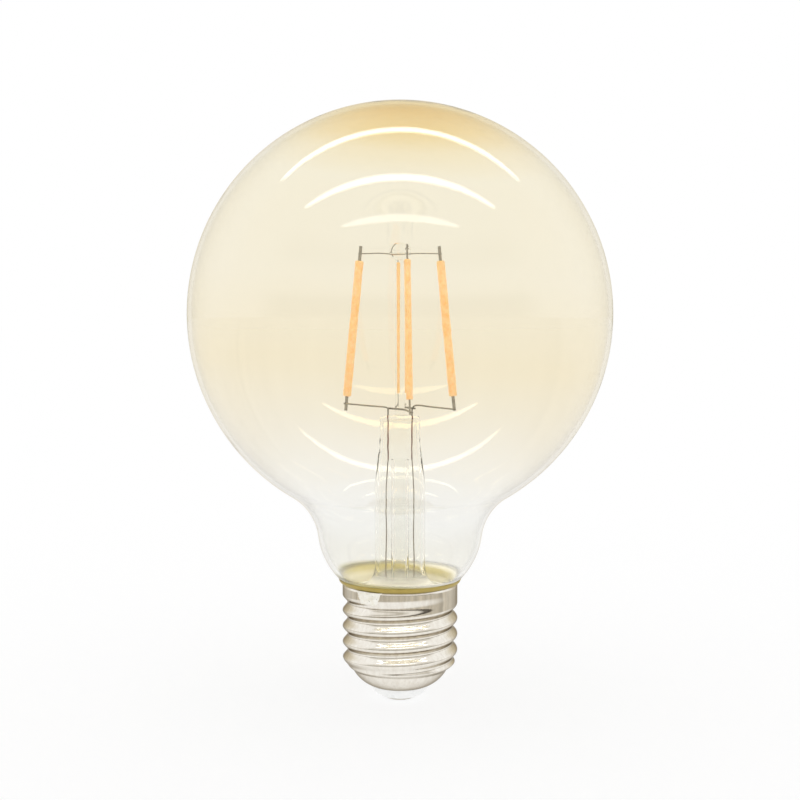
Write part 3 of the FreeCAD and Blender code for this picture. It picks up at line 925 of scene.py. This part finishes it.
@dataclass
class CementRing(CapSizes):
    """The cement between glass and collar, with its bead over the rim and its lining below."""

    bond_overlap: float = 0.06
    bead_top: float = 27.75
    bead_bow: float = 1.5
    bead_steps: int = 8
    bead_head: tuple[Point, Point] = ((0.1, 0.04), (0.12, -0.05))
    bead_foot: tuple[Point, ...] = ((-0.12, 0.02), (-0.06, -0.05), (0.0, -0.2))
    fill_rise: float = 0.3
    lining_drop: float = 0.9
    lining_foot: float = 16.5
    lining_radius: float = 11.55
    lining: float = 0.5
    swell_from: Point = (-0.25, 0.35)
    swell_mean: float = 0.04
    swells: tuple[Point, ...] = ((0.12, 0.45), (0.05, 1.7))

    def outline(self, glass: Sequence[Point]) -> list[Point]:
        """Outline of the ring before its bead swells.

        Args:
            glass: Outer side of the globe's wall, which the cement is bonded to.

        Returns:
            Radius and height of its points.
        """
        foot = node_box("capping_cement")[0].z
        held = [point for point in glass[::-1] if foot < point[1] < self.bead_top]
        bond = [(radius - self.bond_overlap, height) for radius, height in held]
        gap = self.collar_radius - self.wall
        crest, start = ((bond[-1][0] + out, bond[-1][1] + up) for out, up in self.bead_head)
        landing, *seat = ((gap + out, self.rim_level + up) for out, up in self.bead_foot)
        thin = self.lining_radius - self.lining
        ledge = foot - self.lining_drop
        return [
            (bond[0][0], foot),
            *bond,
            crest,
            *bowed(start, landing, -self.bead_bow, self.bead_steps),
            *seat,
            (gap, foot + self.fill_rise),
            (self.lining_radius, ledge),
            (self.lining_radius, self.lining_foot),
            (thin, self.lining_foot),
            (thin, ledge),
            (bond[0][0], foot),
        ]

    def build(self) -> None:
        """Turns the ring, lets its bead swell unevenly and puts it in place."""
        cement = lathe("baked_cement_ring", self.outline(Globe().outline(0.0)), self.segments)
        inner, low = self.collar_radius + self.swell_from[0], self.rim_level + self.swell_from[1]
        for vertex in cement.data.vertices:
            place = vertex.co / MM
            radius = math.hypot(place.x, place.y)
            if place.z > low and radius > inner:
                uneven = sum(size * noise.noise(place * pace) for size, pace in self.swells)
                vertex.co.x *= 1 + (uneven + self.swell_mean) / radius
                vertex.co.y *= 1 + (uneven + self.swell_mean) / radius
        cement.data.update()
        stand_for(cement, CAPPING_CEMENT, "capping_cement")


@dataclass
class SideWire(CapSizes):
    """The wire from the board up inside the shell and out under the solder."""

    diameter: float = 0.4
    exit_drop: float = 1.4
    exit_length: float = 0.1
    turn_back: float = 1.1
    rise: tuple[Point, ...] = ((8.6, 0.0), (8.6, 3.0), (9.6, 6.5))
    bend: tuple[Point, ...] = ((11.1, -2.6), (12.2, -1.2), (12.5, -0.5), (12.6, 0.0))

    def build(self) -> None:
        """Draws the wire and puts it in place."""
        board = node_box("driver_board")[1].z
        exit_level = self.rim_level - self.exit_drop
        turn = Matrix.Rotation(math.radians(self.solder_bearing - self.turn_back), 3, "Z")
        way = (
            *((radius, board + up) for radius, up in self.rise),
            *((radius, exit_level + up) for radius, up in self.bend),
            (self.collar_radius + self.exit_length, exit_level),
        )
        points = [turn @ Vector((radius, 0, height)) for radius, height in way]
        wire = drawn_wire("bent_side_wire", points, self.diameter)
        stand_for(wire, COPPER_WIRE, "side_lead_wire")


@dataclass
class RimSolder(CapSizes):
    """The patch of solder wiped over the rim, wider at the top and thin at its edge."""

    grid: tuple[int, int] = (36, 22)
    width: float = 6.8
    height: float = 2.9
    overlap: float = 0.05
    taper: float = 0.45
    taper_power: float = 0.8
    side_power: int = 5
    foot_power: int = 6
    sunk: float = 0.08
    bulge: float = 0.5
    sheet: float = 0.12
    ragged: float = 0.09
    ragged_pace: Triple = (2.1, 3.0, 4.0)
    lumps: float = 0.45
    lump_pace: Triple = (3.2, 3.2, 1.0)

    def wiped(self, across: float, up: float) -> Vector:
        """Where a point of the patch lies on the collar.

        Args:
            across: Place across the patch, from -1 to 1.
            up: Place up the patch, from 0 to 1.

        Returns:
            The place in millimetres.
        """
        ragged, lumps = (
            1 + size * noise.noise(Vector((across * pace[0], up * pace[1], pace[2])))
            for size, pace in ((self.ragged, self.ragged_pace), (self.lumps, self.lump_pace))
        )
        width = self.width / 2 * (1 - self.taper + self.taper * up ** self.taper_power) * ragged
        level = self.rim_level + self.overlap - self.height * (1 - up) * ragged
        edge = (1 - abs(across) ** self.side_power) * (1 - (1 - up) ** self.foot_power)
        radius = self.collar_radius - self.sunk + self.bulge * edge * lumps
        bearing = math.radians(self.solder_bearing) + across * width / self.collar_radius
        return Vector((math.cos(bearing) * radius, math.sin(bearing) * radius, level))

    def build(self) -> None:
        """Bends a sheet over the rim, thickens it and puts it in place."""
        bpy.ops.object.select_all(action="DESELECT")
        columns, rows = self.grid
        bpy.ops.mesh.primitive_grid_add(x_subdivisions=columns, y_subdivisions=rows, size=2.0)
        patch = name_new("wiped_solder_patch")
        for vertex in patch.data.vertices:
            vertex.co = self.wiped(vertex.co.x, (vertex.co.y + 1) / 2) * MM
        thicken = patch.modifiers.new("Solidify", "SOLIDIFY")
        thicken.thickness = self.sheet * MM
        thicken.offset = -1.0
        bpy.ops.object.modifier_apply(modifier=thicken.name)
        finish_mesh(patch)
        stand_for(patch, RIM_SOLDER, "rim_solder")


@dataclass
class ScrewCap:
    """The screw cap with its insulator, contact, cement, side wire and solder."""

    def build(self) -> None:
        """Builds every piece of the cap and dresses the contact."""
        for piece in (ScrewShell(), Insulator(), CementRing(), SideWire(), RimSolder()):
            piece.build()
        dress_node("centre_contact", CONTACT_METAL)


@dataclass
class Stem:
    """The glass mount: flared stem pressed flat at its end, exhaust tube, pillar and button."""

    flare_level: float = 24.45
    flare_curve: float = 5.8
    flare_trim: float = 0.02
    flare_steps: int = 24
    tube_radius: float = 5.7
    tube_steps: int = 60
    wall: float = 0.9
    cavity_top: float = 63.7
    press_start: float = 47.5
    press_flat: float = 60.5
    press_top: float = 64.65
    press_width: float = 9.0
    press_thickness: float = 4.6
    edge_round: float = 1.0
    edge_steps: int = 6
    wrinkles: tuple[Point, ...] = ((0.22, 0.5), (0.10, 1.3))
    segments: int = 96

    def side(self, inset: float, top: float, rounding: float) -> list[Point]:
        """One side of the wall, from the flare up to the closed end.

        Args:
            inset: How far inside the outer surface the side lies.
            top: Height of the closed end.
            rounding: Radius of the closed end's edge.

        Returns:
            Radius and height of its points.
        """
        centre = (self.tube_radius + self.flare_curve, self.flare_level + self.flare_curve)
        radius = self.tube_radius - inset
        tall = top - rounding - centre[1]
        flare = (math.pi * 1.5 - self.flare_trim, math.pi, self.flare_steps)
        edge = (0.0, math.pi / 2, self.edge_steps)
        shares = (i / self.tube_steps for i in range(1, self.tube_steps + 1))
        return [
            *arc(centre, self.flare_curve + inset, *flare),
            *((radius, centre[1] + tall * share) for share in shares),
            *arc((radius - rounding, top - rounding), rounding, *edge)[1:],
            (0.0, top),
        ]

    def press(self, place: Vector) -> Vector:
        """Where a point of the tube goes when its hot end is pressed flat.

        Args:
            place: The point in millimetres.

        Returns:
            The point after pressing.
        """
        share = eased((place.z - self.press_start) / (self.press_flat - self.press_start))
        uneven = sum(size * share * noise.noise(place * pace) for size, pace in self.wrinkles)
        wide, deep = (
            1 + (size / (2 * self.tube_radius) - 1) * share + uneven / self.tube_radius
            for size in (self.press_width, self.press_thickness)
        )
        return Vector((place.x * wide, place.y * deep, place.z))

    def build(self) -> None:
        """Spins the flared tube, presses its end, and dresses the exhaust tube and pillar."""
        outside = self.side(0.0, self.press_top, self.edge_round)
        inside = self.side(self.wall, self.cavity_top, self.wall)
        stem = lathe("pressed_stem", outside[::-1] + inside, self.segments)
        for vertex in stem.data.vertices:
            vertex.co = self.press(vertex.co / MM) * MM
        stem.data.update()
        stand_for(stem, SEAL_GLASS, "glass_stem")
        for node in ("exhaust_tube", "glass_pillar"):
            dress_node(node, CLEAR_GLASS)


@dataclass
class Strips:
    """The four light strips with a metal tab at each end."""

    length: float = 30.6
    width: float = 1.9
    thickness: float = 1.5
    sides: int = 32
    rings: int = 100
    end_round: float = 0.22
    end_steps: int = 4
    foot_level: float = 68.95
    lower_radius: float = 12.0
    upper_radius: float = 9.1
    shrink: float = 0.05
    chip_pitch: float = 1.15
    chip_rise: float = 0.03
    flow_rise: float = 0.07
    flow_pace: float = 0.35
    bearings: tuple[tuple[str, float], ...] = (
        ("left", 180), ("right", 0), ("front", 280), ("back", 86),
    )

    def mould(self, name: str) -> Piece:
        """Moulds one strip of gel, 1 mm across and upright at the origin.

        Args:
            name: The piece's name.

        Returns:
            The strip.
        """
        radius, curve, top = 0.5, self.end_round, self.length - self.end_round
        cuts = self.rings + 1
        bar = [
            *arc((radius - curve, curve), curve, -math.pi / 2, 0.0, self.end_steps),
            *((radius, curve + (top - curve) * i / cuts) for i in range(1, cuts)),
            *arc((radius - curve, top), curve, 0.0, math.pi / 2, self.end_steps),
        ]
        # The ends are rounded square to the flat sides, so the corners draw in a little more
        draw = 1 / math.cos(math.pi / self.sides) - 1
        bar = [(reach - draw * max(curve - z, z - top, 0.0), z) for reach, z in bar]
        return lathe(name, [(0.0, 0.0), *bar, (0.0, self.length)], self.sides)

    def build_strip(self, side: str, bearing: float) -> None:
        """Shapes a strip over its row of chips, leans it and turns it to its place.

        Args:
            side: Which strip it is.
            bearing: Its angle round the bulb in degrees.
        """
        strip = self.mould(f"{side}_gel_strip")
        lean = math.asin((self.lower_radius - self.upper_radius) / self.length)
        turn = Matrix.Rotation(math.radians(bearing), 4, "Z")
        stand = Matrix.Translation(Vector((self.lower_radius, 0, self.foot_level)) * MM)
        seat = turn @ stand @ Matrix.Rotation(-lean, 4, "Y")
        for vertex in strip.data.vertices:
            place = vertex.co / MM
            chips = self.chip_rise * math.cos(math.tau * place.z / self.chip_pitch)
            flow = self.flow_rise * noise.noise(Vector((bearing, place.z * self.flow_pace, 0.0)))
            swell = 1 - self.shrink + chips + flow
            wide, deep = self.width * swell, self.thickness * swell
            vertex.co = seat @ (Vector((place.x * wide, place.y * deep, place.z)) * MM)
        finish_mesh(strip)
        stand_for(strip, PHOSPHOR_GEL, f"{side}_filament")

    def build(self) -> None:
        """Builds the strips and dresses their tabs."""
        for side, bearing in self.bearings:
            self.build_strip(side, bearing)
            for end in ("lower", "upper"):
                dress_node(f"{side}_{end}_tab", TAB_METAL)


@dataclass
class Wiring:
    """The wires from the cap to the strips."""

    lead_diameter: float = 0.36
    seal_diameter: float = 0.3
    outer_diameter: float = 0.26
    top_diameter: float = 0.24
    front: float = -0.395
    left_run: tuple[Point, ...] = (
        (2.7, 64.65), (2.7, 65.5), (2.7, 66.2), (3.3, 66.5),
        (5.0, 66.62), (8.0, 66.87), (12.75, 67.3),
    )
    right_run: tuple[Point, ...] = (
        (2.7, 64.65), (2.7, 65.6), (2.8, 66.4), (3.4, 66.9),
        (4.6, 66.9), (7.0, 66.5), (12.6, 65.95),
    )
    seal_run: tuple[Point, ...] = ((2.7, 64.65), (2.7, 60.0), (2.7, 54.45))
    outer_run: tuple[Point, ...] = (
        (2.7, 54.5), (2.95, 52.0), (3.2, 46.0), (3.0, 38.0), (3.3, 30.0), (2.9, 22.0), (2.7, 13.8),
    )
    top_wave: tuple[Point, ...] = (
        (-0.025, 0.0), (0.1, 0.02), (0.25, 0.14), (0.4, -0.14),
        (0.5, 0.0), (0.6, -0.1), (0.75, 0.12), (1.025, -0.05),
    )

    def build_side(self, name: str, side: float, lead: Sequence[Point]) -> None:
        """Draws the lead, seal wire and outer lead of one side.

        Args:
            name: Which side it is.
            side: -1 for the left, 1 for the right.
            lead: Distance from the middle and height of the inner lead's points.
        """
        for part, run, diameter, finish in (
            ("inner_lead", lead, self.lead_diameter, NICKEL_WIRE),
            ("seal_wire", self.seal_run, self.seal_diameter, SEAL_WIRE),
            ("outer_lead", self.outer_run, self.outer_diameter, COPPER_WIRE),
        ):
            points = [(side * reach, self.front, height) for reach, height in run]
            wire = drawn_wire(f"{name}_drawn_{part}", points, diameter)
            stand_for(wire, finish, f"{name}_{part}")

    def build_top_wire(self, node: str, first: str, second: str) -> None:
        """Draws a thin, uneven wire between the upper tabs of two strips.

        Args:
            node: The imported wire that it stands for.
            first: The strip where it starts.
            second: The strip where it ends.
        """
        level, start, end = (
            sum(node_box(name), Vector()) / 2
            for name in (node, f"{first}_upper_tab", f"{second}_upper_tab")
        )
        points = []
        for share, rise in self.top_wave:
            place = start + (end - start) * share
            points.append((place.x, place.y, level.z + rise))
        wire = drawn_wire(f"drawn_{node}", points, self.top_diameter)
        stand_for(wire, NICKEL_WIRE, node)

    def build(self) -> None:
        """Draws the leads and top wires and dresses the jumpers in their metal."""
        self.build_side("left", -1, self.left_run)
        self.build_side("right", 1, self.right_run)
        self.build_top_wire("top_cross_wire", "left", "right")
        self.build_top_wire("top_long_wire", "front", "back")
        for wire in ("front_jumper_wire", "back_jumper_wire"):
            dress_node(wire, NICKEL_WIRE)


@dataclass
class Driver:
    """The small driver board inside the cap."""

    def build(self) -> None:
        """Dresses the board and what is soldered to it."""
        for node, finish in (
            ("driver_board", CIRCUIT_BOARD),
            ("bridge_rectifier", BLACK_EPOXY),
            ("driver_chip", BLACK_EPOXY),
            ("smoothing_capacitor", CAPACITOR_SLEEVE),
            ("fuse_resistor", RESISTOR_COAT),
        ):
            dress_node(node, finish)


@dataclass
class Studio:
    """A pale floor, a white surround, strip and fill lamps, and the camera."""

    floor_size: float = 12.0
    floor_shade: float = 0.25
    floor_mirror: tuple[str, str] = ("#857961", "#CDC2AB")
    floor_away: Span = (0.04, 0.11)
    floor_ahead: Span = (0.2, -0.02)
    floor_behind: Span = (0.02, 0.2)
    streaks: float = 4.0
    streak_detail: float = 3.0
    streak_break: float = 0.7
    streak_span: Span = (0.35, 0.65)
    room: tuple[Stop, ...] = (
        (0.5, "#8A8478"), (0.52, "#4E4942"), (0.56, "#575149"), (0.6, "#E9E6DF"),
        (0.66, "#F6F4F0"), (0.74, "#BFB9AE"), (0.82, "#F4F2EE"), (1.0, WHITE),
    )
    room_front: Span = (-0.1, -0.5)
    room_back: Span = (0.3, 0.8)
    backdrop: str = "#E6DECA"
    fill_colour: str = "#FBF6E6"
    # Level, size, power and turn of each fill lamp
    fills: tuple[tuple[float, float, float, float], ...] = (
        (0.062, 0.05, 0.034, 0.0), (0.021, 0.018, 0.001, math.pi),
    )
    strip_width: float = 0.036
    strip_distance: float = 0.5
    # Height angle, length and power of each strip lamp
    strips: tuple[Triple, ...] = ((72.0, 0.85, 0.38), (108.0, 0.85, 0.34), (48.5, 0.5, 0.1))
    clip_start: float = 0.01
    bounces: int = 32
    transmission_bounces: int = 28
    glossy_bounces: int = 16

    @staticmethod
    def mirrored(tree: Tree, *shares: Socket) -> Socket:
        """Tells rays that a surface has mirrored from others.

        Args:
            tree: The node tree.
            *shares: Values from 0 to 1 that the answer is multiplied by.

        Returns:
            1 for mirrored rays and 0 for others, times the shares.
        """
        path = add_node(tree, "LightPath").outputs
        rays = {0: path["Is Glossy Ray"], 1: path["Is Transmission Ray"]}
        mask = add_node(tree, "Math", links=rays, operation="SUBTRACT", use_clamp=True)
        for share in shares:
            both = {0: mask.outputs[0], 1: share}
            mask = add_node(tree, "Math", links=both, operation="MULTIPLY")
        return mask.outputs[0]

    def floor_colour(self, tree: Tree) -> Socket:
        """White, and in mirrors streaked ahead of the bulb and a little dimmer behind it.

        Args:
            tree: The floor's node tree.

        Returns:
            The colour.
        """
        axes = piece_axes(tree).outputs
        around = {0: axes["Y"], 1: axes["X"]}
        bearing = add_node(tree, "Math", links=around, operation="ARCTAN2")
        values = {
            "Scale": self.streaks, "Detail": self.streak_detail, "Roughness": self.streak_break,
        }
        turn = {"W": bearing.outputs[0]}
        streak = add_node(tree, "TexNoise", values, turn, noise_dimensions="1D").outputs["Fac"]
        tone = ramp(tree, streak, tuple(zip(self.streak_span, self.floor_mirror)))
        reach = add_node(tree, "VectorMath", links={0: piece_place(tree)}, operation="LENGTH")
        away = remap(tree, reach.outputs["Value"], self.floor_away, way=Way.SOFT)
        ahead = remap(tree, axes["Y"], self.floor_ahead, way=Way.SOFT)
        behind = remap(tree, axes["Y"], self.floor_behind, way=Way.SOFT)
        far = mix(tree, self.mirrored(tree, behind), WHITE, self.backdrop)
        return mix(tree, self.mirrored(tree, away, ahead), far, tone)

    def build_floor(self) -> None:
        """Lays a plain white floor under the bulb, a little dimmer and uneven in mirrors."""
        bpy.ops.object.select_all(action="DESELECT")
        bpy.ops.mesh.primitive_plane_add(size=self.floor_size)
        floor = name_new("studio_floor")
        paper = bpy.data.materials.new("matt_white_paper")
        paper.use_nodes = True
        tree = paper.node_tree
        feed(
            tree,
            tree.nodes["Principled BSDF"],
            {
                "Base Color": (self.floor_shade,) * 3 + (1.0,),
                "Roughness": 1.0,
                "Specular IOR Level": 0.0,
                "Emission Strength": 1.0 - self.floor_shade,
            },
            {"Emission Color": self.floor_colour(tree)},
        )
        floor.data.materials.append(paper)

    def build_world(self) -> None:
        """Surrounds the bulb with white, and in mirrors with a dim room and a pale backdrop."""
        world = bpy.data.worlds.new("white_surround")
        bpy.context.scene.world = world
        world.use_nodes = True
        tree = world.node_tree
        place = add_node(tree, "TexCoord").outputs["Generated"]
        axes = add_node(tree, "SeparateXYZ", links={"Vector": place}).outputs
        room = ramp(tree, remap(tree, axes["Z"], (-1.0, 1.0)), self.room)
        front, back = (
            self.mirrored(tree, remap(tree, axes["Y"], span, way=Way.SOFT))
            for span in (self.room_front, self.room_back)
        )
        seen = mix(tree, back, mix(tree, front, WHITE, room), self.backdrop)
        feed(tree, tree.nodes["Background"], {"Strength": 1.0}, {"Color": seen})

    @staticmethod
    def hang_lamp(name: str, place: Sequence[float], turn: float, **settings: object) -> Piece:
        """Hangs one area lamp.

        Args:
            name: The lamp's name.
            place: Where it hangs, in metres.
            turn: Its turn round the X axis in radians.
            **settings: Properties of the lamp.

        Returns:
            The lamp's object.
        """
        lamp = bpy.data.lights.new(name, "AREA")
        for key, value in settings.items():
            setattr(lamp, key, value)
        holder = add_object(name, lamp)
        holder.location = place
        holder.rotation_euler = (turn, 0.0, 0.0)
        return holder

    def build_lamps(self) -> None:
        """Hangs strip lamps over the globe, and weak fill lamps above and below the seal."""
        low, high = node_box("glass_envelope")
        middle = Vector((0, 0, high.z - (high.x - low.x) / 2)) * MM
        for count, (rise, length, power) in enumerate(self.strips):
            angle = math.radians(rise)
            away = Vector((0, -math.cos(angle), math.sin(angle)))
            lamp = self.hang_lamp(
                f"strip_lamp_{count}", middle + away * self.strip_distance, math.pi / 2 - angle,
                shape="ELLIPSE", size=length, size_y=self.strip_width, energy=power,
            )
            lamp.visible_diffuse = False
        colour = linear(self.fill_colour)[:3]
        for count, (level, size, power, turn) in enumerate(self.fills):
            lamp = self.hang_lamp(
                f"seal_fill_lamp_{count}", (0.0, 0.0, level), turn,
                shape="DISK", size=size, energy=power, color=colour,
            )
            lamp.visible_camera = lamp.visible_glossy = lamp.visible_transmission = False

    def build_camera(self) -> None:
        """Puts the camera where the photograph was taken from."""
        lens = bpy.data.cameras.new("photo_camera")
        lens.lens = View.LENS.value
        lens.clip_start = self.clip_start
        camera = add_object("photo_camera", lens)
        camera.location = (0.0, -View.DISTANCE.value, View.HEIGHT.value)
        camera.rotation_euler = (math.radians(90 - View.TILT.value), 0.0, 0.0)
        bpy.context.scene.camera = camera

    def build(self) -> None:
        """Builds the whole studio and lets light pass through the many walls of glass."""
        self.build_floor()
        self.build_world()
        self.build_lamps()
        self.build_camera()
        scene = bpy.context.scene
        scene.view_settings.view_transform = "Standard"
        scene.cycles.max_bounces = self.bounces
        scene.cycles.transmission_bounces = self.transmission_bounces
        scene.cycles.glossy_bounces = self.glossy_bounces


def main() -> None:
    """Builds the bulb piece by piece, then the studio."""
    logging.basicConfig(level=logging.INFO, format="%(name)s %(message)s")
    for assembly in (Globe(), ScrewCap(), Stem(), Strips(), Wiring(), Driver(), Studio()):
        assembly.build()
        LOG.info("%s done", type(assembly).__name__)


if __name__ == "__main__":
    main()
